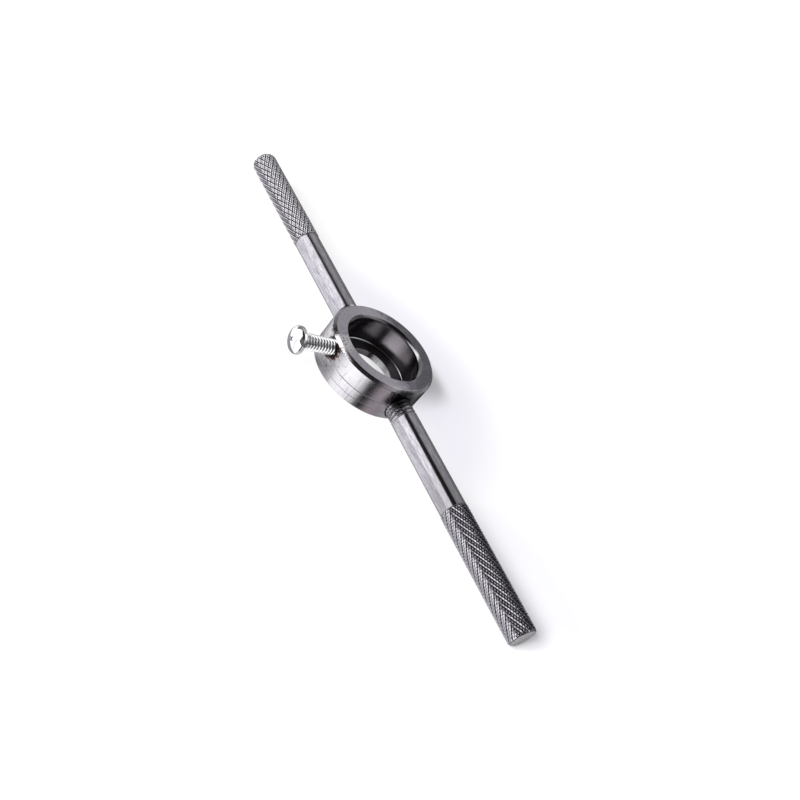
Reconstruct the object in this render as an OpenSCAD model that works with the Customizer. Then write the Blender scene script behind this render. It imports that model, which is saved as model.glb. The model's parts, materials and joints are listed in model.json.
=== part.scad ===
// Round die stock for 25 x 9 mm threading dies.
//
// Four pieces: a turned collar with a stepped bore, two knurled handles that screw into
// its sides, and one clamp screw that passes through its wall to hold the die.
//
// Frame: the origin is on the bore axis at half the collar's height. +Z points out of the
// mouth that takes the die, and +X points along the right handle. All sizes are in mm.

/* [Collar] */
// Outside diameter of the collar
collar_d = 35.5; // [35.2:0.1:42]
// Height of the collar along the bore
collar_h = 12.1; // [12.1:0.1:14]
// 45 degree chamfer on the outer top edge
rim_chamfer = 0.93; // [0.3:0.01:1.2]
// 45 degree break on the other outer edges
edge_break = 0.2; // [0.1:0.05:0.3]

/* [Bore] */
// Diameter of the die pocket
pocket_d = 25; // [24:0.1:25.2]
// Depth of the die pocket below the top face
pocket_depth = 9.55; // [9:0.05:10]
// 45 degree chamfer at the mouth of the pocket
pocket_chamfer = 0.75; // [0.2:0.05:1]
// Diameter of the clearance bore below the die
guide_d = 16.5; // [10:0.5:20]

/* [Turned lines] */
// Height of the wider line turned around the collar
line_z = -0.65; // [-1.5:0.05:0.5]
// Height of the finer line
fine_line_z = -3.6; // [-4.5:0.05:-3]
// Depth of the wider line, a 90 degree vee
line_depth = 0.1; // [0.05:0.05:0.2]
// Depth of the finer line
fine_line_depth = 0.05; // [0.05:0.05:0.1]

/* [Handles] */
// Height of the handle axis
handle_z = -1; // [-1:0.1:0]
// Diameter of the plain shank and of its thread
shank_d = 8; // [6:0.1:8.1]
// Diameter over the knurled grip
grip_d = 8.5; // [8.2:0.1:10]
// Length of the knurled grip
grip_len = 39.6; // [20:0.1:45]
// Length of a whole handle
handle_len = 78.4; // [60:0.1:120]
// Distance from the bore axis to the inner end of a handle that is screwed home
handle_home = 13.3; // [13.3:0.05:14]
// How far the right handle is backed out of the collar
right_backed_out = 2; // [0:0.1:2.5]

/* [Clamp screw] */
// Direction of the screw around the bore, in degrees from +X
screw_angle = -98; // [-120:1:-60]
// Height of the screw axis
screw_z = 1.8; // [0:0.1:1.8]
// Outside diameter of the screw's thread
screw_d = 5; // [4:0.1:5]
// Length of the screw under its head
screw_len = 15; // [10:0.5:15]
// Distance from the bore axis to the underside of the head
screw_out = 28.4; // [28:0.1:29]
// Diameter of the head
head_d = 8.3; // [7.5:0.1:9.5]
// Height of the head, rim and crown together
head_h = 2.8; // [2:0.1:3.6]
// Height of the straight rim of the head
head_rim = 0.7; // [0.3:0.1:1]

/* [Hidden] */

// Radial clearance of each screwed joint, whose threads are shown as plain cylinders
running_gap = 0.05;
// Material left between the bottom of a handle's hole and the inner end of the handle
hole_floor_gap = 0.2;
// Countersinks where the handles and the clamp screw enter the collar
handle_sink_d = 9.2;
screw_sink_d = 6.8;
// Break on the lower edge of the guide bore and on the inner corners of the screw hole
guide_break = 0.3;
// 45 degree chamfers on the inner end of a handle and on the point of the screw
thread_chamfer = 0.6;
point_chamfer = 0.5;
// Steep chamfer on the outer end of a handle: its length along the handle and its height
end_chamfer_len = 0.9;
end_chamfer_rise = 0.45;
// Step in degrees between the points of the crown's outline
crown_step = 5;
// Cross recess in the head: width and length of a wing, and depth below the crown's top
wing_w = 0.6;
wing_len = 3;
recess_depth = 1;
// Cutters run past the faces that they cut by this much
over = 1;

collar_r = collar_d / 2;
top_z = collar_h / 2;
pocket_r = pocket_d / 2;
seat_z = top_z - pocket_depth;
shank_r = shank_d / 2;
grip_r = grip_d / 2;
grip_start = handle_len - grip_len;
handle_hole_r = shank_r + running_gap;
handle_hole_floor = handle_home - hole_floor_gap;
screw_r = screw_d / 2;
screw_hole_r = screw_r + running_gap;
head_r = head_d / 2;
crown_h = head_h - head_rim;

// Half section of the collar, as [radius, height] pairs around the ring of metal
function collar_section() = [
    [guide_d / 2 + guide_break, -top_z],
    [collar_r - edge_break, -top_z],
    [collar_r, -top_z + edge_break],
    [collar_r, fine_line_z - fine_line_depth],
    [collar_r - fine_line_depth, fine_line_z],
    [collar_r, fine_line_z + fine_line_depth],
    [collar_r, line_z - line_depth],
    [collar_r - line_depth, line_z],
    [collar_r, line_z + line_depth],
    [collar_r, top_z - rim_chamfer],
    [collar_r - rim_chamfer, top_z],
    [pocket_r + pocket_chamfer, top_z],
    [pocket_r, top_z - pocket_chamfer],
    [pocket_r, seat_z],
    [guide_d / 2, seat_z],
    [guide_d / 2, -top_z + guide_break],
];

// Places its children with +Z pointing away from the bore axis at a given angle and height
module outward(angle, height) {
    translate([0, 0, height])
        rotate([0, 0, angle])
            rotate([0, 90, 0])
                children();
}

// Hole from a given distance out to beyond the collar, with a 90 degree countersink
module side_hole(r, from, sink_r) {
    sink_h = sink_r - r;
    translate([0, 0, from])
        cylinder(h = collar_r - from + over, r = r, $fn = 64);
    translate([0, 0, collar_r - sink_h])
        cylinder(h = sink_h + over, r1 = r, r2 = sink_r + over, $fn = 64);
}

// One handle along +Z, with its threaded inner end at the origin
module handle() {
    rotate_extrude($fn = 96)
        polygon([
            [0, 0],
            [shank_r - thread_chamfer, 0],
            [shank_r, thread_chamfer],
            [shank_r, grip_start],
            [grip_r, grip_start + grip_r - shank_r],
            [grip_r, handle_len - end_chamfer_len],
            [grip_r - end_chamfer_rise, handle_len],
            [0, handle_len],
        ]);
}

// Outline of the crown, a quarter ellipse of [radius, height] pairs from the rim to the axis
function crown_section() = [
    for (a = [0:crown_step:90])
        [head_r * cos(a), head_rim + crown_h * sin(a)]
];

// Cross recess, with the top of the crown at the origin and the head below it
module cross_recess() {
    for (turn = [0, 90])
        rotate([0, 0, turn])
            translate([-wing_len / 2, -wing_w / 2, -recess_depth])
                cube([wing_len, wing_w, recess_depth + over]);
}

// Screw head on the plane z = 0: a straight rim under a rounded crown
module pan_head() {
    difference() {
        rotate_extrude($fn = 96)
            polygon(concat([[0, 0], [head_r, 0]], crown_section()));
        translate([0, 0, head_h])
            cross_recess();
    }
}

// Ring with a stepped bore, two blind handle holes and one through hole for the screw
module collar() {
    color("dimgray")
        difference() {
            rotate_extrude($fn = 180)
                polygon(collar_section());
            for (side = [0, 180])
                outward(side, handle_z)
                    side_hole(handle_hole_r, handle_hole_floor, handle_sink_d / 2);
            outward(screw_angle, screw_z)
                side_hole(screw_hole_r, pocket_r / 2, screw_sink_d / 2);
        }
}

module left_handle() {
    color("gray")
        outward(180, handle_z)
            translate([0, 0, handle_home])
                handle();
}

module right_handle() {
    color("gray")
        outward(0, handle_z)
            translate([0, 0, handle_home + right_backed_out])
                handle();
}

// Pan head screw with a cross recess, its point held back inside the collar's wall
module clamp_screw() {
    color("silver")
        outward(screw_angle, screw_z)
            translate([0, 0, screw_out]) {
                pan_head();
                translate([0, 0, -screw_len])
                    cylinder(h = point_chamfer, r1 = screw_r - point_chamfer, r2 = screw_r, $fn = 96);
                translate([0, 0, point_chamfer - screw_len])
                    cylinder(h = screw_len, r = screw_r, $fn = 96);
            }
}

collar();
left_handle();
right_handle();
clamp_screw();
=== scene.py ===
"""Round die stock: a turned collar, two knurled handles and a clamp screw.

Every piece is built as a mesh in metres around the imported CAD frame. The main sizes come from
the frame's boxes, mounts and joints. The ones written here in millimetres are those that no
box or mount holds, such as chamfers and holes, and the surface detail that the plain CAD
solids leave out: threads, knurl and rounded edges.
"""

import json
import math

import bpy
import numpy as np
from mathutils import Matrix, Vector


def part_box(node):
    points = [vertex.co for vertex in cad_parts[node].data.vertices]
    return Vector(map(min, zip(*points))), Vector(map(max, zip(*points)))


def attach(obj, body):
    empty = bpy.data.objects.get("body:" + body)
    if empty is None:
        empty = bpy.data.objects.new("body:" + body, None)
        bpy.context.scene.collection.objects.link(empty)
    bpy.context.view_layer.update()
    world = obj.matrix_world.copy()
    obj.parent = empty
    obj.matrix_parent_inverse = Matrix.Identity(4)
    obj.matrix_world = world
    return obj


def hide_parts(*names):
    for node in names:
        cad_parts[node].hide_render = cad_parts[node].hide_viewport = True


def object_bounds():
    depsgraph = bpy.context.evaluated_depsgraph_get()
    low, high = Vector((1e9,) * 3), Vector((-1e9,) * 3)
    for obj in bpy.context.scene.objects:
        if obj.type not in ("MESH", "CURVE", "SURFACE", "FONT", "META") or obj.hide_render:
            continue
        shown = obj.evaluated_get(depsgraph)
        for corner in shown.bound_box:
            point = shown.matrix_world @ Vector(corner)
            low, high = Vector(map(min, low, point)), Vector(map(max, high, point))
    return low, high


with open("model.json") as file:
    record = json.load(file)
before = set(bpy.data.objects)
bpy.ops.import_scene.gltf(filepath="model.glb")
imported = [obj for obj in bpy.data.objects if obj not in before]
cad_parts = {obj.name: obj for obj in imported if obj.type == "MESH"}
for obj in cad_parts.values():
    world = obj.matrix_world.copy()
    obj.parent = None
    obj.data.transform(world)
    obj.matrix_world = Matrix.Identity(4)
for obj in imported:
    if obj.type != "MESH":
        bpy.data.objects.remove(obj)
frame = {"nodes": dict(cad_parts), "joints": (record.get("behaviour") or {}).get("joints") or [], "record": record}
cad_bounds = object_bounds()

MM = 0.001
X, Z = Vector((1, 0, 0)), Vector((0, 0, 1))


# ---------------------------------------------------------------- sizes from the frame

MOUNTS = {m["name"]: m for m in frame["record"]["mounts"]}
JOINTS = {j["name"]: j for j in frame["joints"]}


def span_along(node, axis):
    """Lowest and highest reach of a CAD node along a direction from the origin."""
    reach = [v.co.dot(axis) for v in frame["nodes"][node].data.vertices]
    return min(reach), max(reach)


COLLAR_LOW, COLLAR_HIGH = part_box("collar")
COLLAR_R = COLLAR_HIGH.x
TOP_Z = COLLAR_HIGH.z
BASE_Z = COLLAR_LOW.z
POCKET_R = MOUNTS["die_pocket"]["dims"]["r_mm"] * MM
SEAT_Z = MOUNTS["die_seat"]["pos_m"][2]
GUIDE_R = MOUNTS["work_passage"]["dims"]["r_mm"] * MM

HANDLE_LOW, HANDLE_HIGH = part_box("right_handle")
HANDLE_Z = (HANDLE_LOW.z + HANDLE_HIGH.z) / 2
HANDLE_LEN = HANDLE_HIGH.x - HANDLE_LOW.x
GRIP_R = (HANDLE_HIGH.z - HANDLE_LOW.z) / 2

SCREW_OUT = -Vector(JOINTS["clamp_screw_travel"]["axis"]).normalized()
SCREW_LOW, SCREW_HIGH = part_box("clamp_screw")
SCREW_Z = (SCREW_LOW.z + SCREW_HIGH.z) / 2
SCREW_TIP, SCREW_TOP = span_along("clamp_screw", SCREW_OUT)
HEAD_R = (SCREW_HIGH.z - SCREW_LOW.z) / 2

# ---------------------------------------------------------------- surface detail

# Collar
RIM_CHAMFER = 0.93 * MM
EDGE_BREAK = 0.2 * MM
POCKET_CHAMFER = 0.75 * MM
GUIDE_CHAMFER = 0.3 * MM
CORNER_RADIUS = 0.1 * MM
SEAT_FILLET = 0.35 * MM
# Lines turned around the wall: height, depth and half width
LINES = ((-0.65 * MM, 0.13 * MM, 0.12 * MM), (-3.6 * MM, 0.07 * MM, 0.06 * MM))
COLLAR_SEGMENTS = 288
COLLAR_STEP = 0.9 * MM
COLLAR_SHARP_DEG = 32
# Softening of the edges of a countersink, and the points around a hole
HOLE_LIP = 0.12 * MM
HOLE_COLUMNS = 96
HOLE_THREAD_STEPS = 10
# Painted light and shade on the pocket's wall: how bright it is painted, by the bearing from the bore axis
POCKET_BY_BEARING = (
    (-180, 0.15), (-150, 0.5), (-100, 0.8), (0, 1.0), (40, 1.1), (50, 0.7), (60, 0.2),
    (75, 0.4), (90, 1.15), (102, 1.25), (112, 1.9), (128, 1.85), (138, 1.1), (148, 0.4),
    (160, 0.32), (170, 0.2), (180, 0.15),
)

# Handles
SHANK_R = 4.0 * MM
HANDLE_HOLE_R = 4.05 * MM
HANDLE_HOLE_FLOOR = 13.1 * MM
HANDLE_SINK_R = 4.6 * MM
THREAD_LEN = 6.6 * MM
THREAD_PITCH = 1.25 * MM
THREAD_DEPTH = 0.4 * MM
THREAD_STEPS = 14
START_CHAMFER = 0.6 * MM
SHANK_ROWS = 20
GRIP_LEN = 39.6 * MM
END_CHAMFER_LEN = 0.9 * MM
END_CHAMFER_RISE = 0.45 * MM
# Soft lip where the end chamfer meets the end face
END_LIP = 0.12 * MM
END_LIP_LEN = 0.1 * MM
HANDLE_SHARP_DEG = 42
KNURL_TEETH = 32
KNURL_PITCH = 1.57 * MM
KNURL_DEPTH = 0.42 * MM
KNURL_STEPS = 8
KNURL_SETBACK = 0.01 * MM
KNURL_RUN_IN = 0.45 * MM
# How steep the two sets of ridges are, and how much more so where the second set is deep
FIRST_SLOPE, SECOND_SLOPE, DEEP_SLOPE = 1.1, 1.2, 0.6
# How high the bottoms of faint and of shallow grooves stay, as shares of the depth
FAINT_FIRST, SHALLOW_FIRST = 0.7, 0.85
FAINT_SECOND, SHALLOW_SECOND = 0.6, 0.7
# Height of every second ridge of the first set, and the wear and its waves over the counts
LOW_CREST = 0.7
WEAR = 0.1
WEAR_WAVES = (13, 9)
# Angle, two levels and loss of the second knurl roll, which build_handle explains
LEFT_ROLLS = (92, 0.44, 0.6, 0.0)
RIGHT_ROLLS = (213, 0.68, 0.86, 0.9)

# Clamp screw
SCREW_R = 2.5 * MM
SCREW_LEN = 15.0 * MM
SCREW_PITCH = 1.0 * MM
SCREW_DEPTH = 0.6 * MM
SCREW_HOLE_R = 2.55 * MM
SCREW_SINK_R = 3.4 * MM
SCREW_STEPS = 16
SCREW_COLUMNS = 128
POINT_CHAMFER = 0.5 * MM
NECK_FILLET = 0.2 * MM
HEAD_RIM = 0.7 * MM
HEAD_EDGE = 0.16 * MM
CROWN_RINGS = 28
SCREW_SHARP_DEG = 35
# Cross recess: half length and half width of a wing, its depth, and how far it narrows
RECESS_REACH = 1.15 * MM
RECESS_WING = 0.22 * MM
RECESS_DEPTH = 0.6 * MM
RECESS_NARROWING = 0.42
# The way that the side of the head with painted shade faces
SHADED_SIDE = (-0.5, 0.07, -0.86)


# ---------------------------------------------------------------- mesh helpers


def smoothstep(low, high, x):
    t = np.clip((x - low) / (high - low), 0.0, 1.0)
    return t * t * (3 - 2 * t)


def tri_wave(t):
    """0 at whole numbers and 1 halfway between them."""
    return 1 - np.abs(2 * (t - np.floor(t)) - 1)


def flattened(wave, slope, drop):
    """A wave from 0 to 1 made steeper, so that it rests on both for a while."""
    return np.clip(slope * wave - drop, 0, 1)


def add_piece(name, mesh, body, node):
    """Links a mesh that stands for a CAD node and rides on its body."""
    piece = bpy.data.objects.new(name, mesh)
    bpy.context.scene.collection.objects.link(piece)
    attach(piece, body)
    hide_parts(node)
    return piece


def rings_to_mesh(name, along, radius, origin, axis, relief=None, diagonals=None):
    """Closed mesh of rings around an axis, the ends closed by a fan.

    along holds one distance per ring, radius is a rings by columns array, and relief is an
    optional array of the same shape that is stored per point for the materials. diagonals
    tells for each cell which way to split it, 1 or 2, or 0 to leave it a quad.
    """
    rows, cols = radius.shape
    side = Vector((0, 0, 1)) if abs(axis.z) < 0.5 else Vector((1, 0, 0))
    first = side.cross(axis).normalized()
    second = axis.cross(first)
    turn = np.arange(cols) * 2 * math.pi / cols
    spokes = np.outer(np.cos(turn), first) + np.outer(np.sin(turn), second)
    centres = np.array(origin) + np.outer(along, axis)
    points = centres[:, None, :] + radius[:, :, None] * spokes[None]
    ends = np.array([centres[0], centres[-1]])
    verts = np.concatenate([points.reshape(-1, 3), ends])

    i, j = np.meshgrid(np.arange(rows - 1), np.arange(cols), indexing="ij")
    nxt = (j + 1) % cols
    a, b = i * cols + j, i * cols + nxt
    c, d = (i + 1) * cols + nxt, (i + 1) * cols + j
    split = np.zeros(a.shape, int) if diagonals is None else diagonals
    faces = []
    for way, corners in (
        (0, ((a, b, c, d),)),
        (1, ((a, b, d), (b, c, d))),
        (2, ((a, b, c), (a, c, d))),
    ):
        pick = split == way
        for corner in corners:
            faces += np.stack([v[pick] for v in corner], 1).tolist()
    start, end = rows * cols, rows * cols + 1
    last = (rows - 1) * cols
    for k in range(cols):
        faces.append([start, (k + 1) % cols, k])
        faces.append([end, last + k, last + (k + 1) % cols])

    mesh = bpy.data.meshes.new(name)
    mesh.from_pydata(verts.tolist(), [], faces)
    values = np.zeros(len(verts), np.float32) if relief is None else np.concatenate(
        [relief.ravel(), relief[0].mean(keepdims=True), relief[-1].mean(keepdims=True)]
    )
    mesh.attributes.new("relief", "FLOAT", "POINT").data.foreach_set(
        "value", values.astype(np.float32)
    )
    mesh.update()
    return mesh


def shade(mesh, angle_deg):
    """Smooth shading with sharp edges where faces meet at more than an angle."""
    mesh.polygons.foreach_set("use_smooth", [True] * len(mesh.polygons))
    mesh.set_sharp_from_angle(angle=math.radians(angle_deg))


def rounded(points, radii, steps=3):
    """A closed outline of (a, b) points with its corners turned into short arcs."""
    out = []
    count = len(points)
    for k in range(count):
        here = np.array(points[k])
        before = np.array(points[k - 1]) - here
        after = np.array(points[(k + 1) % count]) - here
        reach = min(radii[k], 0.45 * np.linalg.norm(before), 0.45 * np.linalg.norm(after))
        enter = here + before / np.linalg.norm(before) * reach
        leave = here + after / np.linalg.norm(after) * reach
        for s in range(steps + 1):
            t = s / steps
            out.append((1 - t) ** 2 * enter + 2 * t * (1 - t) * here + t * t * leave)
    return np.array(out)


def cut(piece_mesh, cutters):
    """Takes cutter meshes away from a mesh and returns the result as a new mesh."""
    scene = bpy.context.scene
    body = bpy.data.objects.new("cut_body", piece_mesh)
    scene.collection.objects.link(body)
    tools = []
    for k, cutter in enumerate(cutters):
        tool = bpy.data.objects.new(f"cutter_{k}", cutter)
        scene.collection.objects.link(tool)
        tools.append(tool)
        boolean = body.modifiers.new(f"cut_{k}", "BOOLEAN")
        boolean.operation = "DIFFERENCE"
        boolean.solver = "EXACT"
        boolean.object = tool
    bpy.context.view_layer.update()
    evaluated = body.evaluated_get(bpy.context.evaluated_depsgraph_get())
    result = bpy.data.meshes.new_from_object(evaluated)
    for obj in [body, *tools]:
        bpy.data.objects.remove(obj)
    return result


# ---------------------------------------------------------------- collar


def collar_outline():
    """Half section of the collar as (radius, height) points, anticlockwise."""
    wall = []
    for height, depth, half_width in sorted(LINES):
        wall += [
            (COLLAR_R, height - half_width),
            (COLLAR_R - depth, height),
            (COLLAR_R, height + half_width),
        ]
    return [
        (GUIDE_R + GUIDE_CHAMFER, BASE_Z),
        (COLLAR_R - EDGE_BREAK, BASE_Z),
        (COLLAR_R, BASE_Z + EDGE_BREAK),
        *wall,
        (COLLAR_R, TOP_Z - RIM_CHAMFER),
        (COLLAR_R - RIM_CHAMFER, TOP_Z),
        (POCKET_R + POCKET_CHAMFER, TOP_Z),
        (POCKET_R, TOP_Z - POCKET_CHAMFER),
        (POCKET_R, SEAT_Z),
        (GUIDE_R, SEAT_Z),
        (GUIDE_R, BASE_Z + GUIDE_CHAMFER),
    ]


def densify(outline, step):
    """Adds points along the straight stretches of a closed outline."""
    out = []
    for k, here in enumerate(outline):
        ahead = outline[(k + 1) % len(outline)]
        parts = max(1, round(np.linalg.norm(ahead - here) / step))
        out += [here + (ahead - here) * s / parts for s in range(parts)]
    return np.array(out)


def lathe(name, outline, segments):
    """A closed ring of metal: a closed outline of (radius, height) turned around Z."""
    turn = np.arange(segments) * 2 * math.pi / segments
    count = len(outline)
    r, z = outline[:, 0], outline[:, 1]
    verts = np.stack(
        [
            np.outer(np.cos(turn), r),
            np.outer(np.sin(turn), r),
            np.tile(z, (segments, 1)),
        ],
        axis=-1,
    ).reshape(-1, 3)
    i, j = np.meshgrid(np.arange(segments), np.arange(count), indexing="ij")
    i2, j2 = (i + 1) % segments, (j + 1) % count
    quads = np.stack(
        [i * count + j, i2 * count + j, i2 * count + j2, i * count + j2], -1
    )
    mesh = bpy.data.meshes.new(name)
    mesh.from_pydata(verts.tolist(), [], quads.reshape(-1, 4).tolist())
    mesh.update()
    return mesh


def hole_cutter(name, axis, height, hole_r, start, sink_r, thread=None):
    """A drill along a direction out of the bore, with a countersink that has a soft lip."""
    sink = COLLAR_R - (sink_r - hole_r)
    lip = HOLE_LIP
    stops = [
        (start, hole_r * 0.999),
        (sink - lip, hole_r),
        (sink + lip, hole_r + lip * 0.55),
        (COLLAR_R - lip, sink_r - lip * 0.9),
        (COLLAR_R + lip, sink_r + lip * 1.3),
        (COLLAR_R + 3 * lip, sink_r + lip * 6),
    ]
    cols = HOLE_COLUMNS
    if thread is None:
        along = np.array([s for s, _ in stops])
        radius = np.tile(np.array([[r] for _, r in stops]), (1, cols))
    else:
        pitch, depth = thread
        fine = np.arange(start, sink - lip, pitch / HOLE_THREAD_STEPS)
        along = np.concatenate([fine, [s for s, _ in stops[1:]]])
        phase = fine[:, None] / pitch - np.arange(cols)[None] / cols
        fade = smoothstep(sink - lip, sink - pitch, fine)[:, None]
        grooves = hole_r + depth * fade * flattened(tri_wave(phase), 1.4, 0.2)
        rest = np.tile(np.array([[r] for _, r in stops[1:]]), (1, cols))
        radius = np.concatenate([grooves, rest])
    return rings_to_mesh(name, along, radius, (0, 0, height), axis)


def build_collar():
    corners = collar_outline()
    radii = [SEAT_FILLET if c == (POCKET_R, SEAT_Z) else CORNER_RADIUS for c in corners]
    outline = densify(rounded(corners, radii), COLLAR_STEP)
    ring = lathe("collar_ring", outline, COLLAR_SEGMENTS)
    cutters = [
        hole_cutter("drill", side, HANDLE_Z, HANDLE_HOLE_R, HANDLE_HOLE_FLOOR, HANDLE_SINK_R)
        for side in (X, -X)
    ]
    inside = POCKET_R * 0.8
    thread = (SCREW_PITCH, SCREW_DEPTH * 0.6)
    cutters.append(
        hole_cutter("tap", SCREW_OUT, SCREW_Z, SCREW_HOLE_R, inside, SCREW_SINK_R, thread)
    )
    mesh = cut(ring, cutters)
    mesh.name = "collar_body"
    shade(mesh, COLLAR_SHARP_DEG)
    return add_piece("collar_body", mesh, "collar", "collar")


# ---------------------------------------------------------------- handles


def knurl_height(u, v, first_depth, second_depth):
    """Height of the knurl from 0 in a groove to 1 on a point, on its two sets of lines.

    The depths tell from 0 to 1 how deep each set of grooves went in. Every second ridge
    of the first set stands taller, and where the second set is deep every second groove
    of both is fainter. Slow waves over the counts leave no two points alike.
    """
    tooth = 2 * math.pi / KNURL_TEETH
    first_wave = np.sin(WEAR_WAVES[0] * tooth * np.floor(u))
    second_wave = np.sin(WEAR_WAVES[1] * tooth * np.floor(v))
    wear = 0.5 + 0.5 * first_wave * second_wave
    tall = np.floor(u) % 2 < 0.5
    first_faint = np.floor(u + 0.5) % 2 < 0.5
    second_faint = np.floor(v + 0.5) % 2 < 0.5
    first = np.clip((FIRST_SLOPE + DEEP_SLOPE * second_depth) * tri_wave(u), 0, 1)
    second = np.clip((SECOND_SLOPE + DEEP_SLOPE * second_depth) * tri_wave(v), 0, 1)
    faint = np.where(first_faint, FAINT_FIRST * second_depth, 0.0)
    first = np.maximum(first, np.maximum(faint, SHALLOW_FIRST * (1 - first_depth)))
    faint = np.where(second_faint, FAINT_SECOND * second_depth, 0.0)
    shallow = np.where(tall, SHALLOW_SECOND, 0.0) * (1 - second_depth)
    second = np.maximum(second, np.maximum(faint, shallow))
    low = LOW_CREST + (1 - LOW_CREST) * second_depth
    crest = np.where(tall, 1.0, low) - WEAR * wear
    return np.minimum(first, second) * crest


def handle_rows():
    """Distances of the rings along a handle, and which of them are knurled.

    The rings stand close together at each edge, so that the edge stays crisp.
    """
    grip_start = HANDLE_LEN - GRIP_LEN
    tip = [0.0, 0.03 * MM]
    thread = np.arange(0.1 * MM, THREAD_LEN + THREAD_PITCH, THREAD_PITCH / THREAD_STEPS)
    shank = np.linspace(thread[-1] + 1 * MM, grip_start - 0.25 * MM, SHANK_ROWS)
    step = KNURL_PITCH / KNURL_STEPS
    knurl_rows = int(round((GRIP_LEN - 0.1 * MM) / step))
    knurl = grip_start + np.arange(knurl_rows + 1) * step
    knurl = knurl[knurl < HANDLE_LEN - 0.05 * MM]
    end = [HANDLE_LEN - 0.03 * MM, HANDLE_LEN]
    along = np.concatenate([tip, thread, shank, knurl, end])
    is_knurl = np.isin(along, knurl)
    return along, is_knurl


def build_handle(side, name, body, rolls):
    """One rod: threaded inner end, plain shank, knurled grip with a chamfered end.

    rolls says how far round the rod the second knurl roll went in deepest, between which
    levels it fades out, and how much shallower the first roll went in there.
    """
    along, is_knurl = handle_rows()
    cols = KNURL_TEETH * KNURL_STEPS
    turn = np.arange(cols) / cols
    s = along[:, None]
    grip_start = HANDLE_LEN - GRIP_LEN

    phase = s / THREAD_PITCH - turn[None]
    groove = flattened(1 - tri_wave(phase), 1.35, 0.22)
    fade = smoothstep(THREAD_LEN + 0.6 * THREAD_PITCH, THREAD_LEN - 0.4 * THREAD_PITCH, s)
    radius = SHANK_R - THREAD_DEPTH * groove * fade

    row = np.round((s - grip_start) / (KNURL_PITCH / KNURL_STEPS))
    u = (np.arange(cols)[None] + row) / KNURL_STEPS
    v = (np.arange(cols)[None] - row) / KNURL_STEPS
    roll_deg, none, full, loss = rolls
    favour = 0.5 + 0.5 * np.cos(2 * math.pi * turn - math.radians(roll_deg))
    second_depth = smoothstep(none, full, favour)[None]
    height = knurl_height(u, v, 1 - loss * second_depth, second_depth)
    knurled = GRIP_R - KNURL_SETBACK - KNURL_DEPTH * (1 - height)
    start_fade = smoothstep(grip_start - 0.05 * MM, grip_start + KNURL_RUN_IN, s)
    knurled = SHANK_R + (knurled - SHANK_R) * start_fade
    radius = np.where(is_knurl[:, None], knurled, radius)

    from_end = HANDLE_LEN - s
    end_limit = GRIP_R - END_CHAMFER_RISE * np.clip(1 - from_end / END_CHAMFER_LEN, 0, 1)
    end_limit = end_limit - END_LIP * np.clip(1 - from_end / END_LIP_LEN, 0, 1)
    start_limit = SHANK_R - START_CHAMFER * np.clip(1 - s / START_CHAMFER, 0, 1)
    radius = np.minimum(radius, np.minimum(end_limit, start_limit + (s > 1 * MM) * MM))
    relief = np.where(is_knurl[:, None], height * start_fade, 1 - groove * fade)

    i, j = np.meshgrid(np.arange(len(along) - 1), np.arange(cols), indexing="ij")
    start_row = int(np.argmax(is_knurl))
    k = i - start_row
    half = KNURL_STEPS // 2
    inside = is_knurl[:-1, None] & is_knurl[1:, None]
    first_way = (k + j + 1) % half == 0
    second_way = (j - k) % half == 0
    ways = np.where(inside, np.where(first_way, 1, 2), 0)
    ways = np.where(inside & ~first_way & ~second_way, 1 + (k + j) % 2, ways)

    axis = X * side
    inner_end = abs(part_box(body)[0 if side > 0 else 1].x)
    origin = Vector((side * inner_end, 0, HANDLE_Z))
    mesh = rings_to_mesh(name, along, radius, origin, axis, relief, ways)
    shade(mesh, HANDLE_SHARP_DEG)
    return add_piece(name, mesh, body, body)


# ---------------------------------------------------------------- clamp screw


def screw_profile():
    """Rings of the screw from its point to the top of its crown, as distance and radius."""
    rim, top = SCREW_LEN + HEAD_RIM, SCREW_TOP - SCREW_TIP
    thread = np.arange(0.05 * MM, SCREW_LEN - 0.15 * MM, SCREW_PITCH / SCREW_STEPS)
    along = [0.0, *thread]
    radius = [SCREW_R - POINT_CHAMFER, *([SCREW_R] * len(thread))]
    along += [SCREW_LEN - 0.1 * MM, SCREW_LEN - 0.03 * MM, SCREW_LEN, SCREW_LEN]
    radius += [SCREW_R, SCREW_R + 0.05 * MM, SCREW_R + NECK_FILLET, HEAD_R - HEAD_EDGE]
    for k in range(1, 5):
        bend = k / 4 * math.pi / 2
        along.append(SCREW_LEN + HEAD_EDGE * (1 - math.cos(bend)))
        radius.append(HEAD_R - HEAD_EDGE * (1 - math.sin(bend)))
    for k in range(1, CROWN_RINGS):
        bend = k / CROWN_RINGS * math.pi / 2
        along.append(rim + (top - rim) * math.sin(bend))
        radius.append(HEAD_R * math.cos(bend))
    return np.array(along), np.array(radius)


def cross_cutter(origin, axis):
    """A cross with wings that narrow towards the bottom of the recess."""
    side = Z.cross(axis).normalized()
    up = axis.cross(side)
    corners = []
    for quarter in range(4):
        turn = Matrix.Rotation(quarter * math.pi / 2, 2)
        for a, b in ((1, -1), (1, 1), (0, 1)):
            reach = Vector((RECESS_REACH if a else RECESS_WING, b * RECESS_WING))
            corners.append(turn @ reach)
    verts = []
    above = 0.4 * MM
    for depth, scale in ((-RECESS_DEPTH, RECESS_NARROWING), (above, 1.1)):
        for corner in corners:
            verts.append(origin + axis * depth + (side * corner.x + up * corner.y) * scale)
    count = len(corners)
    faces = [[k, (k + 1) % count, count + (k + 1) % count, count + k] for k in range(count)]
    faces.append(list(range(count))[::-1])
    faces.append(list(range(count, 2 * count)))
    mesh = bpy.data.meshes.new("cross")
    mesh.from_pydata([tuple(v) for v in verts], [], faces)
    mesh.update()
    return mesh


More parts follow.
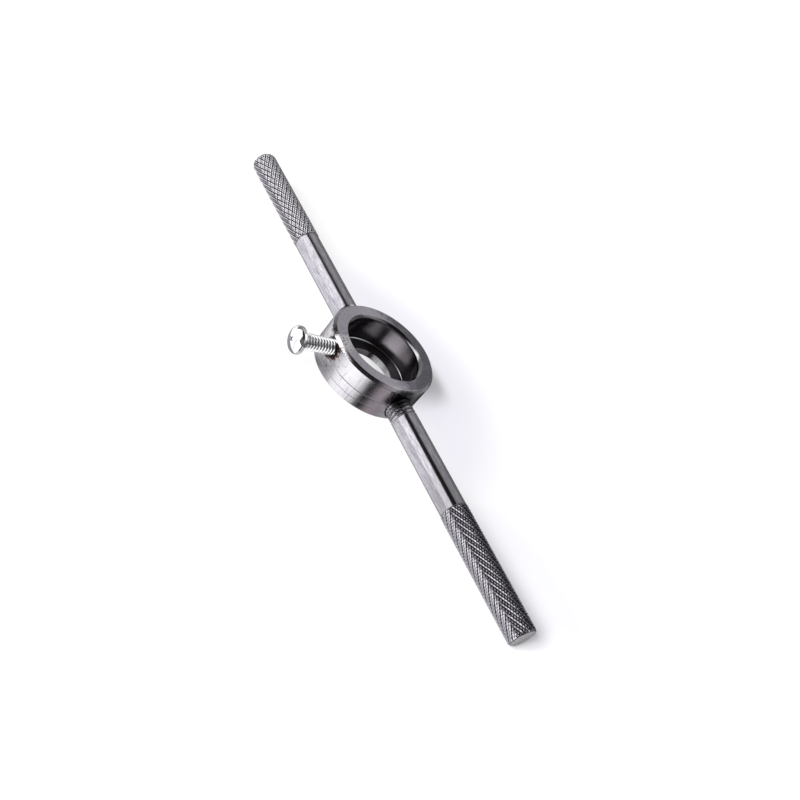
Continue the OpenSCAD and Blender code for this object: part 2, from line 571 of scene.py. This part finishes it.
def build_screw():
    """The clamp screw: a helical thread under a pan head with a cross recess."""
    along, profile = screw_profile()
    cols = SCREW_COLUMNS
    s = along[:, None]
    phase = (s + SCREW_TIP) / SCREW_PITCH - np.arange(cols)[None] / cols
    groove = 0.5 + 0.5 * np.cos(2 * math.pi * phase)
    threaded = smoothstep(SCREW_LEN - 0.2 * MM, SCREW_LEN - 1.1 * MM, s) * (s < SCREW_LEN)
    radius = profile[:, None] - SCREW_DEPTH * groove * threaded
    point = SCREW_R - POINT_CHAMFER * np.clip(1 - s / POINT_CHAMFER, 0, 1)
    radius = np.where(s < 2 * POINT_CHAMFER, np.minimum(radius, point), radius)
    relief = 1 - groove * threaded
    origin = SCREW_OUT * SCREW_TIP + Z * SCREW_Z
    mesh = rings_to_mesh("screw", along, radius, origin, SCREW_OUT, relief)
    top = SCREW_OUT * SCREW_TOP + Z * SCREW_Z
    mesh = cut(mesh, [cross_cutter(top, SCREW_OUT)])
    mesh.name = "clamp_screw_body"
    shade(mesh, SCREW_SHARP_DEG)
    return add_piece("clamp_screw_body", mesh, "clamp_screw", "clamp_screw")


# ---------------------------------------------------------------- material helpers

# Sockets of the mix node for colours, which share their names with those for values
MIX_FACTOR, MIX_A, MIX_B, MIX_RESULT = 0, 6, 7, 2


class Graph:
    """Short names for building a shader: each call adds a node and returns its output."""

    def __init__(self, tree):
        self.tree = tree
        tree.nodes.clear()

    def feed(self, socket, value):
        """Links an output to an input, or sets the input to a plain value."""
        if isinstance(value, bpy.types.NodeSocket):
            self.tree.links.new(value, socket)
        else:
            socket.default_value = value

    def add(self, kind, inputs=None, output=0, **settings):
        node = self.tree.nodes.new(kind)
        for key, value in settings.items():
            setattr(node, key, value)
        for key, value in (inputs or {}).items():
            self.feed(node.inputs[key], value)
        return node.outputs[output] if len(node.outputs) else None

    def math(self, operation, a, b=0.0):
        return self.add("ShaderNodeMath", {0: a, 1: b}, operation=operation)

    def plus(self, total, *others):
        for value in others:
            total = self.math("ADD", total, value)
        return total

    def times(self, product, *others):
        for value in others:
            product = self.math("MULTIPLY", product, value)
        return product

    def minus(self, a, b):
        return self.math("SUBTRACT", a, b)

    def vector(self, operation, a, b=(0, 0, 0), output="Vector"):
        return self.add("ShaderNodeVectorMath", {0: a, 1: b}, output, operation=operation)

    def scaled(self, vector, factor):
        return self.vector("MULTIPLY", vector, (factor, factor, factor))

    def parts(self, vector):
        node = self.tree.nodes.new("ShaderNodeSeparateXYZ")
        self.tree.links.new(vector, node.inputs[0])
        return node.outputs

    def join(self, x, y, z):
        return self.add("ShaderNodeCombineXYZ", {0: x, 1: y, 2: z})

    def normal(self):
        return self.add("ShaderNodeTexCoord", output="Normal")

    def place_mm(self):
        """The place of a point in millimetres, in the frame of the whole part."""
        return self.scaled(self.add("ShaderNodeTexCoord", output="Object"), 1 / MM)

    def noise(self, vector, scale, detail=3.0, roughness=0.55):
        inputs = {"Vector": vector, "Scale": scale, "Detail": detail, "Roughness": roughness}
        return self.add("ShaderNodeTexNoise", inputs)

    def span(self, value, low, high, to_low=0.0, to_high=1.0):
        """Smooth step of a value between two levels, rising or falling."""
        return self.add(
            "ShaderNodeMapRange",
            {0: value, 1: low, 2: high, 3: to_low, 4: to_high},
            interpolation_type="SMOOTHSTEP",
        )

    def within(self, *limits):
        """A mask from (value, none, full) limits: 1 where all of them are at full.

        Places are in mm and bearings in degrees.
        """
        return self.times(*[self.span(value, none, full) for value, none, full in limits])

    def mix(self, factor, a, b):
        """Between two colours: a at factor 0 and b at factor 1."""
        node = self.tree.nodes.new("ShaderNodeMix")
        node.data_type = "RGBA"
        self.feed(node.inputs[MIX_FACTOR], factor)
        for socket, colour in ((MIX_A, a), (MIX_B, b)):
            is_plain = isinstance(colour, tuple)
            self.feed(node.inputs[socket], (*colour, 1.0) if is_plain else colour)
        return node.outputs[MIX_RESULT]

    def lay(self, under, over, *masks):
        """One colour laid over another, as strongly as the product of the masks."""
        return self.mix(self.times(*masks), under, over)

    def blend(self, factor, a, b):
        """Between two values: a at factor 0 and b at factor 1."""
        return self.plus(a, self.times(self.minus(b, a), factor))

    def by_bearing(self, degrees, stops):
        """A level looked up from (bearing, level) stops, all the way round from -180 to 180.

        A colour ramp holds levels up to 1, so they go in halved and come out doubled.
        """
        node = self.tree.nodes.new("ShaderNodeValToRGB")
        self.tree.links.new(self.times(self.plus(degrees, 180.0), 1 / 360), node.inputs[0])
        elements = node.color_ramp.elements
        elements.remove(elements[1])
        for k, (bearing, level) in enumerate(stops):
            share = (bearing + 180) / 360
            stop = elements[0] if k == 0 else elements.new(share)
            stop.position = share
            stop.color = (level / 2, level / 2, level / 2, 1)
        return self.times(node.outputs[0], 2.0)

    def bump(self, height, distance):
        inputs = {"Height": height, "Distance": distance, "Strength": 1.0}
        return self.add("ShaderNodeBump", inputs)

    def metal(self, colour, roughness, normal, brushed=0.0, tangent=None):
        """A metal surface that ends the graph, its grooves along the tangent."""
        inputs = {
            "Base Color": colour,
            "Metallic": 1.0,
            "Roughness": roughness,
            "Normal": normal,
            "Anisotropic": brushed,
            "Anisotropic Rotation": 0.25,
        }
        if tangent is not None:
            inputs["Tangent"] = tangent
        surface = self.add("ShaderNodeBsdfPrincipled", inputs)
        self.add("ShaderNodeOutputMaterial", {"Surface": surface})


class Spot:
    """Where a point of the part is, as shader values in mm and, for the bearing, degrees."""

    def __init__(self, g):
        self.place = g.place_mm()
        self.x, self.y, self.z = g.parts(self.place)
        self.radius = g.vector("LENGTH", g.join(self.x, self.y, 0.0), output="Value")
        self.angle = g.math("ARCTAN2", self.y, self.x)
        self.bearing = g.times(self.angle, 180 / math.pi)


def new_material(name):
    material = bpy.data.materials.new(name)
    material.use_nodes = True
    return material, Graph(material.node_tree)


# ---------------------------------------------------------------- materials

# Colours in linear light: the collar
WALL_DARK, WALL_LIGHT = (0.5, 0.49, 0.505), (0.64, 0.63, 0.645)
WALL_STREAK = (0.24, 0.23, 0.25)
# Partly stain, partly painted shade for the screw's shadow seen in the wall
WALL_STAIN_AND_SHADE = (0.27, 0.26, 0.28)
WALL_WARM = (0.5, 0.42, 0.46)
FACE_DARK, FACE_LIGHT = (0.2, 0.195, 0.22), (0.66, 0.625, 0.69)
FACE_PIT, FACE_GLINT = (0.16, 0.15, 0.17), (0.85, 0.82, 0.88)
# Tint of the pocket's wall, scaled by its painted light and shade
POCKET_PAINTED_LIGHT = (0.43, 0.375, 0.41)
# Painted shade on the pocket's seat, deep in the bore
SEAT_SHADE = (0.035, 0.033, 0.036)
# Painted highlight along the fillet at the foot of the pocket
FILLET_HIGHLIGHT = (0.75, 0.73, 0.74)
# Painted shade on the pocket's chamfer at the mouth
MOUTH_SHADE = (0.13, 0.125, 0.135)
# Painted highlight on the rim's chamfer above the screw hole
RIM_HIGHLIGHT = (0.95, 0.92, 0.93)
RUST = (0.17, 0.06, 0.045)
SPECK = (0.04, 0.03, 0.03)
# Painted shade in the countersink around the screw
SINK_SHADE = (0.015, 0.012, 0.012)
# Painted shade at the right handle's hole, on the wall and on the rod
PORT_SHADE = (0.03, 0.027, 0.03)
# The handles
ROD_DARK, ROD_LIGHT = (0.38, 0.365, 0.4), (0.6, 0.585, 0.62)
ROD_PATCH = (0.38, 0.365, 0.38)
ROD_GRAIN = (0.2, 0.19, 0.21)
GROOVE_DIRT = (0.03, 0.027, 0.035)
RIDGE_BRIGHT = (1.0, 0.99, 1.0)
# Painted shade on the underside of the right grip
GRIP_UNDER_SHADE = (0.2, 0.19, 0.22)
# Painted shade on the back side of the right grip, away from the lamp
GRIP_BACK_SHADE = (0.1, 0.09, 0.11)
END_CAP = (0.72, 0.71, 0.72)
# Painted shade on the right shank next to the grip, dimming its reflected band
SHANK_SHADE = (0.3, 0.29, 0.31)
GRIME = (0.05, 0.045, 0.05)
# The clamp screw
ZINC_DARK, ZINC_LIGHT = (0.84, 0.84, 0.86), (0.93, 0.925, 0.915)
ZINC_DIRT = (0.2, 0.195, 0.2)
# Painted shade for the dark crescent at the edge of the head
HEAD_SIDE_SHADE = (0.13, 0.13, 0.135)


def wall_colour(g, at, lathe_marks):
    """The outside of the collar: fine rings and streaks, a stretch that is partly stained and partly darkened with
    painted shade, and a warmer stretch.
    """
    arc = g.times(at.angle, COLLAR_R / MM)
    streaks = g.noise(g.join(arc, g.times(at.z, 0.12), 0.0), 1.1, 5.0, 0.65)
    colour = g.mix(g.span(lathe_marks, 0.35, 0.65), WALL_DARK, WALL_LIGHT)
    colour = g.lay(colour, WALL_STREAK, g.span(streaks, 0.52, 0.68), 0.55)
    # Beside the screw the wall is partly stained and partly darkened with painted shade
    dull = g.within((at.bearing, -70, -84), (at.z, 2.0, -1.5))
    colour = g.lay(colour, WALL_STAIN_AND_SHADE, dull, 0.6)
    warm = g.within((at.bearing, -44, -34), (at.bearing, -12, -20))
    return g.lay(colour, WALL_WARM, warm, 0.7), streaks


def face_colour(g, at, grain):
    """The top face: painted shading, lighter towards the clamp screw and darker away from it, mottled all over."""
    blotch = g.noise(at.place, 0.35, 4.0, 0.6)
    # Painted shading across the face, standing for a gradient in the reflected light, over a mottle
    mottle_and_shading = g.plus(g.times(g.minus(blotch, 0.5), 16.0), at.y, g.span(at.x, 6, 16, 0.0, 9.0))
    colour = g.mix(g.span(mottle_and_shading, 13.5, 2), FACE_DARK, FACE_LIGHT)
    colour = g.lay(colour, FACE_PIT, g.span(grain, 0.5, 0.62), 0.45)
    return g.lay(colour, FACE_GLINT, g.span(grain, 0.46, 0.36), 0.35)


def with_pocket(g, at, colour):
    """Adds the pocket's wall with painted light and shade, painted shade on its seat, a painted highlight on the
    fillet and painted shade at the mouth.
    """
    pocket_r, seat_z = POCKET_R / MM, SEAT_Z / MM
    pocket = g.within(
        (at.radius, pocket_r + 0.1, pocket_r - 0.1), (at.z, seat_z - 0.3, seat_z - 0.1)
    )
    seat = g.within((at.z, seat_z + 1.4, seat_z + 0.5))
    fillet = g.within(
        (at.radius, pocket_r - 0.4, pocket_r - 0.2), (at.z, seat_z + 0.4, seat_z + 0.2)
    )
    # Painted light and shade on the pocket's wall, brighter or darker by bearing
    painted_light = g.by_bearing(at.bearing, POCKET_BY_BEARING)
    lining = g.join(*[g.times(painted_light, share) for share in POCKET_PAINTED_LIGHT])
    colour = g.lay(colour, lining, pocket, 0.95)
    # Painted shade on the seat at the bottom of the pocket
    colour = g.lay(colour, SEAT_SHADE, seat, pocket, 0.95)
    # Painted highlight along the fillet between the pocket's wall and seat
    colour = g.lay(colour, FILLET_HIGHLIGHT, fillet, pocket)
    # Painted shade on the pocket's chamfer at the mouth, on the -X side
    mouth = g.within((at.radius, 13.4, 13.2), (at.z, 5.2, 5.4), (at.x, -3, -8))
    return g.lay(colour, MOUTH_SHADE, mouth, 0.8)


def with_screw_rust_and_light(g, at, colour, crust, off_top):
    """Adds rust, specks and painted light and shade around the screw hole, and returns the rust's mask as well.

    ragged is the distance from the hole in mm, made uneven. Above the hole a painted highlight
    lies on the rim; below it there is rust, with painted shade in the countersink closest in and specks further
    out.
    """
    hole = g.join(*[c / MM for c in SCREW_OUT * COLLAR_R + Z * SCREW_Z])
    away = g.vector("DISTANCE", at.place, hole, output="Value")
    clean = g.within((at.x, -3.0, -5.0), (at.z, 0.0, 2.0))
    uneven = g.times(g.minus(crust, 0.5), 7.0)
    ragged = g.plus(away, uneven, g.times(clean, 1.2), g.span(at.z, 0.5, -1.0, 0.0, 1.3))
    # Painted highlight on the rim's chamfer above the hole
    rim_highlight = g.within((ragged, 8.0, 6.0), (at.z, 4.9, 5.3), (at.x, -4.0, -3.0))
    colour = g.lay(colour, RIM_HIGHLIGHT, rim_highlight, 0.8)
    rust = g.within((ragged, 4.9, 4.3), (at.z, 5.2, 4.7), (at.x, -2.8, -1.2))
    colour = g.lay(colour, RUST, rust, 0.85)
    more = g.times(g.within((at.x, -3.2, -4.4), (at.z, 4.0, 5.0)), 0.12, off_top)
    specks = g.within((g.plus(crust, more), 0.57, 0.62), (away, 8.0, 6.0))
    colour = g.lay(colour, SPECK, specks, 0.85)
    # Painted shade in the countersink, closest in around the screw
    sink_shade = g.within((ragged, 4.2, 3.8), (at.z, 5.2, 4.7))
    return g.lay(colour, SINK_SHADE, sink_shade, 0.95), rust


def with_port_shade(g, at, colour, crust, off_top):
    """Adds painted shade: the dark patch on the wall above the hole of the right handle."""
    centre = (COLLAR_R / MM, -1.5, HANDLE_Z / MM + 2.5)
    away = g.plus(g.vector("DISTANCE", at.place, centre, output="Value"), g.times(crust, 2.0))
    # Painted shade above the right handle's hole, where the rim shades it
    return g.lay(colour, PORT_SHADE, g.within((away, 7.3, 4.9), (at.z, -1.2, 0.8)), off_top, 0.93)


def collar_material():
    """Turned steel: streaky bright wall, mottled top face, rust at the screw, and painted light and shade on the
    wall, top face, pocket, screw hole and port.
    """
    material, g = new_material("collar_steel")
    at = Spot(g)
    on_top = g.span(g.parts(g.normal())[2], 0.85, 0.97)
    off_top = g.minus(1.0, on_top)
    rings = g.join(g.times(at.angle, 1.2), g.times(at.z, 6.0), at.radius)
    lathe_marks = g.noise(rings, 2.2, 4.0, 0.65)
    facing = g.join(g.times(at.angle, 0.8), g.times(at.radius, 9.0), 0.0)
    face_marks = g.noise(facing, 1.6, 3.0, 0.6)
    grain = g.noise(at.place, 2.0, 5.0, 0.75)
    crust = g.noise(at.place, 1.5, 4.0, 0.65)

    wall, streaks = wall_colour(g, at, lathe_marks)
    colour = g.mix(on_top, wall, face_colour(g, at, grain))
    colour = with_pocket(g, at, colour)
    colour, rust = with_screw_rust_and_light(g, at, colour, crust, off_top)
    colour = with_port_shade(g, at, colour, crust, off_top)

    rough = g.plus(g.blend(on_top, 0.1, 0.36), g.times(grain, 0.06), g.times(rust, 0.3))
    wall_relief = g.plus(lathe_marks, g.times(streaks, 1.4))
    face_relief = g.plus(face_marks, g.times(grain, 0.8))
    height = g.blend(on_top, wall_relief, face_relief)
    tangent = g.add("ShaderNodeTangent", direction_type="RADIAL", axis="Z")
    g.metal(colour, rough, g.bump(height, 0.012 * MM), 0.6, tangent)
    return material


def rod_colour(g, at, streaks, grain):
    """The bare rod: satin streaks along it, with patches and dark grain."""
    patches = g.noise(at.place, 0.28, 4.0, 0.6)
    colour = g.mix(g.span(streaks, 0.35, 0.65), ROD_DARK, ROD_LIGHT)
    colour = g.lay(colour, ROD_PATCH, g.span(patches, 0.5, 0.68), 0.35)
    return g.lay(colour, ROD_GRAIN, g.span(grain, 0.52, 0.66), 0.4)


def with_knurl_wear_and_shade(g, at, colour, relief, deep, on_grip, right):
    """Adds dirt in the grooves and bright ridges, and painted shade on the right grip below and behind."""
    handle_z = HANDLE_Z / MM
    dirt = g.times(deep, g.blend(on_grip, 0.4, g.blend(right, 0.75, 0.95)))
    colour = g.mix(dirt, colour, GROOVE_DIRT)
    colour = g.lay(colour, RIDGE_BRIGHT, g.span(relief, 0.68, 0.86), on_grip)
    # Painted shade on the underside of the right grip
    lower = g.span(at.z, handle_z + 2.2, handle_z - 0.8)
    colour = g.lay(colour, GRIP_UNDER_SHADE, lower, right, on_grip, 0.72)
    # Painted shade on the back side of the right grip
    return g.lay(colour, GRIP_BACK_SHADE, on_grip, right, g.span(at.y, -1.5, 1.5), 0.6)


def handle_material():
    """Drawn rod: satin along its length, with dirt low in the knurl and the thread."""
    material, g = new_material("handle_steel")
    at = Spot(g)
    relief = g.add("ShaderNodeAttribute", output="Fac", attribute_name="relief")
    streaks = g.noise(g.join(g.times(at.x, 0.12), at.y, at.z), 2.6, 4.0, 0.6)
    grain = g.noise(at.place, 2.0, 5.0, 0.75)
    out = g.math("ABSOLUTE", at.x)
    right = g.span(at.x, -5, 5)
    left_start = (-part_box("left_handle")[0].x - GRIP_LEN) / MM
    right_start = (HANDLE_HIGH.x - GRIP_LEN) / MM
    on_grip = g.span(g.minus(out, g.blend(right, left_start, right_start)), 0.0, 0.3)
    end_cap = g.span(g.math("ABSOLUTE", g.parts(g.normal())[0]), 0.8, 0.95)
    deep = g.span(relief, 0.72, 0.12)

    colour = rod_colour(g, at, streaks, grain)
    colour = with_knurl_wear_and_shade(g, at, colour, relief, deep, on_grip, right)
    colour = g.mix(end_cap, colour, END_CAP)
    # Painted shade on the right shank as it nears the grip
    shank_shade = g.times(g.span(at.x, 36, 50), g.minus(1.0, on_grip))
    colour = g.lay(colour, SHANK_SHADE, shank_shade, 0.5)
    root = g.times(g.span(out, 24.0, 20.5), right)
    colour = g.lay(colour, GRIME, g.span(grain, 0.42, 0.54), root, 0.7)
    # Painted shade on the right rod under the collar's rim, where it enters the hole
    colour = g.lay(colour, PORT_SHADE, g.within((out, 20.6, 18.6), (at.z, -1.0, 1.5)), right)

    dull = g.times(g.math("MAXIMUM", deep, end_cap), 0.35)
    rough = g.plus(g.times(grain, 0.08), 0.07, dull)
    height = g.plus(streaks, g.times(grain, 0.5), g.times(grain, root, 6.0))
    g.metal(colour, rough, g.bump(height, 0.01 * MM))
    return material


def screw_material():
    """Bright zinc plate, a little cloudy, with dirt at the root of the thread.

    Painted shade darkens the side of the head that faces the given direction, for the dark crescent at its edge.
    """
    material, g = new_material("screw_zinc")
    place = g.place_mm()
    relief = g.add("ShaderNodeAttribute", output="Fac", attribute_name="relief")
    cloud = g.noise(place, 0.8, 3.0, 0.5)
    grain = g.noise(place, 7.0, 3.0, 0.6)
    colour = g.mix(g.span(cloud, 0.35, 0.65), ZINC_DARK, ZINC_LIGHT)
    colour = g.lay(colour, ZINC_DIRT, g.span(relief, 0.6, 0.1), 0.75)
    sideways = g.vector("DOT_PRODUCT", g.normal(), SHADED_SIDE, output="Value")
    out = g.vector("DOT_PRODUCT", place, SCREW_OUT, output="Value")
    head = (SCREW_TIP + SCREW_LEN) / MM
    # Painted shade on the side of the crown, for the dark crescent at its edge
    side_shade = g.within((sideways, 0.03, 0.12), (out, head, head + 0.2))
    colour = g.lay(colour, HEAD_SIDE_SHADE, side_shade, 0.95)
    g.metal(colour, g.plus(g.times(cloud, 0.05), 0.04), g.bump(grain, 0.003 * MM))
    return material


# ---------------------------------------------------------------- studio

VIEW_AZIMUTH = 33.5
VIEW_ELEVATION = 32.95
VIEW_ROLL = 41.47
VIEW_DISTANCE = 287.3 * MM
VIEW_AIM = Vector((12.56, 5.76, -3.29)) * MM
LENS_MM = 42.75

FLOOR_HALF = 2.0
FLOOR_GLOW = 0.1
PAPER_ALBEDO = 0.8
# How bright the paper looks in a reflection, by the compass bearing of the reflected ray,
# and the least that it shows to rays that come down steeply
FLOOR_BY_BEARING = (
    (-180, 1.0), (-160, 1.05), (-135, 1.1), (-120, 0.95), (-108, 0.8), (-92, 1.35),
    (-73, 1.5), (-55, 1.3), (-43, 1.0), (-36, 0.5), (-30, 0.03), (-19, 0.03), (-12, 0.25),
    (0, 0.45), (20, 0.4), (45, 0.48), (58, 0.46), (74, 0.22), (100, 0.1), (135, 0.13),
    (160, 0.5), (180, 1.0),
)
FLOOR_BELOW = 0.55
# Shares of the lamp's shadow that the camera sees: everywhere, more on the side away from
# the lamp, more again further out, most beside the ring and the right tip, and how far the
# painted pale shadow around those two thins it
KEPT_EVERYWHERE = 0.06
KEPT_BEHIND = 0.12
KEPT_FAR = 0.12
KEPT_CLOSE = 0.85
KEPT_IN_PAINTED_SHADOW = 0.3
PAPER_WHITE = (1.02, 1.02, 1.02)
# Colour of the painted pale lilac shadow around the ring and the right tip
PAPER_PAINTED_SHADOW = (0.87, 0.86, 0.93)

KEY_STRENGTH = 6.3
KEY_SPREAD = 30
KEY_BEARING = -92
KEY_RISE = 28

# Lights of the room, by direction in degrees and level
SOFT_BOX_BEARING = -124
SOFT_BOX_LEVEL = 1.6
BACK_WALL_BEARING = 120
SIDE_BEARING = -165
SIDE_LEVEL = 0.2
# Small cards: bearing, rise, half widths of full and of no light, level
CARDS = ((18, 42, 4, 24, 0.4), (63, 51, 10, 26, 1.0))
CAMERA_WHITE = 1.05


def direction(bearing, rise):
    """Unit vector towards a compass bearing and a height above the horizon, in degrees."""
    a, e = math.radians(bearing), math.radians(rise)
    return Vector((math.cos(a) * math.cos(e), math.sin(a) * math.cos(e), math.sin(e)))


def build_camera():
    back = direction(VIEW_AZIMUTH - 90, VIEW_ELEVATION)
    level = Z.cross(back).normalized()
    upright = back.cross(level)
    roll = math.radians(VIEW_ROLL)
    right = level * math.cos(roll) + upright * math.sin(roll)
    up = back.cross(right)
    camera = bpy.data.objects.new("camera", bpy.data.cameras.new("camera"))
    camera.matrix_world = Matrix((right, up, back)).transposed().to_4x4()
    camera.location = VIEW_AIM + back * VIEW_DISTANCE
    camera.data.lens = LENS_MM
    camera.data.clip_start = 0.01
    bpy.context.scene.collection.objects.link(camera)
    bpy.context.scene.camera = camera


def lit_paper(g):
    """The paper as light and metal meet it: reflections see it bright in front, dim behind."""
    ray = g.scaled(g.add("ShaderNodeNewGeometry", output="Incoming"), -1.0)
    x, y, z = g.parts(ray)
    bearing = g.times(g.math("ARCTAN2", y, x), 180 / math.pi)
    seen = g.by_bearing(bearing, FLOOR_BY_BEARING)
    seen = g.math("MAXIMUM", seen, g.times(g.span(z, -0.62, -0.82), FLOOR_BELOW))
    reflected = g.add("ShaderNodeLightPath", output="Is Glossy Ray")
    seen = g.blend(reflected, 1.0, seen)
    tint = g.join(seen, g.times(seen, 0.993), g.times(seen, 1.02))
    paper = g.add("ShaderNodeBsdfDiffuse", {"Color": g.scaled(tint, PAPER_ALBEDO)})
    glow = g.add("ShaderNodeEmission", {"Color": tint, "Strength": FLOOR_GLOW})
    return g.add("ShaderNodeAddShader", {0: paper, 1: glow})


def camera_paper(g):
    """How the camera sees the paper: white, or a painted pale shadow near the ring and the right tip, where the
    lamp's shadow is washed out, and by how much.
    """
    at = Spot(g)
    x, y, ring = at.x, at.y, at.radius
    behind = g.times(g.span(y, -2, 2), KEPT_BEHIND)
    kept = g.plus(behind, g.times(g.span(y, 9, 17), KEPT_FAR), KEPT_EVERYWHERE)
    # A painted pale lilac shadow on the paper around the ring and the right tip
    ring_painted_shadow = g.within((ring, 66, 38), (y, 4, 22))
    tip_painted_shadow = g.within((x, 30, 72), (x, 112, 90), (y, 0, 8), (y, 44, 20))
    painted_shadow = g.math("MAXIMUM", ring_painted_shadow, tip_painted_shadow)
    beside_ring = g.within((ring, 38, 31), (y, 2, 12), (x, 16, 3), (x, -32, -12))
    beside_tip = g.within((x, 35, 84), (y, 34, 16), (y, -2, 2))
    close = g.math("MAXIMUM", beside_ring, beside_tip)
    kept = g.plus(g.times(kept, g.blend(painted_shadow, 1.0, KEPT_IN_PAINTED_SHADOW)), g.times(close, KEPT_CLOSE))
    washed = g.minus(1.0, g.math("MINIMUM", kept, 1.0))
    colour = g.mix(painted_shadow, PAPER_WHITE, PAPER_PAINTED_SHADOW)
    return washed, g.add("ShaderNodeEmission", {"Color": colour, "Strength": 1.0})


def build_floor():
    """White paper under the part."""
    mesh = bpy.data.meshes.new("floor")
    h = FLOOR_HALF
    mesh.from_pydata([(-h, -h, 0), (h, -h, 0), (h, h, 0), (-h, h, 0)], [], [(0, 1, 2, 3)])
    floor = bpy.data.objects.new("floor", mesh)
    floor.location.z = cad_bounds[0].z
    bpy.context.scene.collection.objects.link(floor)
    material, g = new_material("floor_paper")
    washed, white = camera_paper(g)
    from_camera = g.add("ShaderNodeLightPath", output="Is Camera Ray")
    shown = {0: g.times(washed, from_camera), 1: lit_paper(g), 2: white}
    surface = g.add("ShaderNodeMixShader", shown)
    g.add("ShaderNodeOutputMaterial", {"Surface": surface})
    mesh.materials.append(material)


def lobe(g, way, towards, full, none):
    """1 within some degrees of a direction, falling to 0 further away."""
    match = g.vector("DOT_PRODUCT", way, tuple(towards), output="Value")
    return g.span(match, math.cos(math.radians(none)), math.cos(math.radians(full)))


def build_room():
    """What the metal reflects: a soft box, a dim front, a grey back wall and small cards."""
    world = bpy.data.worlds.new("studio")
    bpy.context.scene.world = world
    world.use_nodes = True
    g = Graph(world.node_tree)
    way = g.add("ShaderNodeTexCoord", output="Generated")
    x, y, z = g.parts(way)
    rise = g.times(g.math("ARCSINE", z), 180 / math.pi)
    level = g.vector("NORMALIZE", g.join(x, y, 0.0))

    light = g.blend(g.span(rise, 36, 50), 0.14, 0.025)
    side = lobe(g, level, direction(SIDE_BEARING, 0), 20, 50)
    light = g.blend(g.times(side, g.span(rise, 45, 32)), light, SIDE_LEVEL)
    wall = g.add("ShaderNodeMapRange", {0: rise, 1: 5, 2: 14, 3: 0.35, 4: 0.27})
    wall = g.blend(g.span(rise, 22, 36), wall, 0.5)
    wall = g.blend(g.span(rise, 70, 88), wall, 0.12)
    light = g.blend(lobe(g, level, direction(BACK_WALL_BEARING, 0), 35, 80), light, wall)
    for bearing, height, full, none, brightness in CARDS:
        card = lobe(g, way, direction(bearing, height), full, none)
        light = g.plus(light, g.times(card, brightness))
    box = lobe(g, level, direction(SOFT_BOX_BEARING, 0), 25, 36)
    light = g.blend(g.times(box, g.span(rise, 52, 41)), light, SOFT_BOX_LEVEL)

    white = {"Color": (1, 1, 1, 1), "Strength": CAMERA_WHITE}
    seen = g.add("ShaderNodeBackground", white)
    room = g.add("ShaderNodeBackground", {"Color": (0.985, 0.98, 1.0, 1), "Strength": light})
    from_camera = g.add("ShaderNodeLightPath", output="Is Camera Ray")
    mixed = g.add("ShaderNodeMixShader", {0: from_camera, 1: room, 2: seen})
    g.add("ShaderNodeOutputWorld", {"Surface": mixed})


def build_key():
    """A large soft lamp from the -Y side that lights the paper and throws the shadow."""
    lamp = bpy.data.lights.new("key", "SUN")
    lamp.energy = KEY_STRENGTH
    lamp.angle = math.radians(KEY_SPREAD)
    key = bpy.data.objects.new("key", lamp)
    towards = direction(KEY_BEARING, KEY_RISE)
    key.rotation_euler = towards.to_track_quat("Z", "Y").to_euler()
    key.visible_glossy = False
    bpy.context.scene.collection.objects.link(key)


# ---------------------------------------------------------------- assembly

collar = build_collar()
left = build_handle(-1, "left_handle_rod", "left_handle", LEFT_ROLLS)
right = build_handle(1, "right_handle_rod", "right_handle", RIGHT_ROLLS)
screw = build_screw()

collar.data.materials.append(collar_material())
handle_steel = handle_material()
for rod in (left, right):
    rod.data.materials.append(handle_steel)
screw.data.materials.append(screw_material())

build_floor()
build_room()
build_key()
build_camera()
bpy.context.scene.view_settings.view_transform = "Standard"
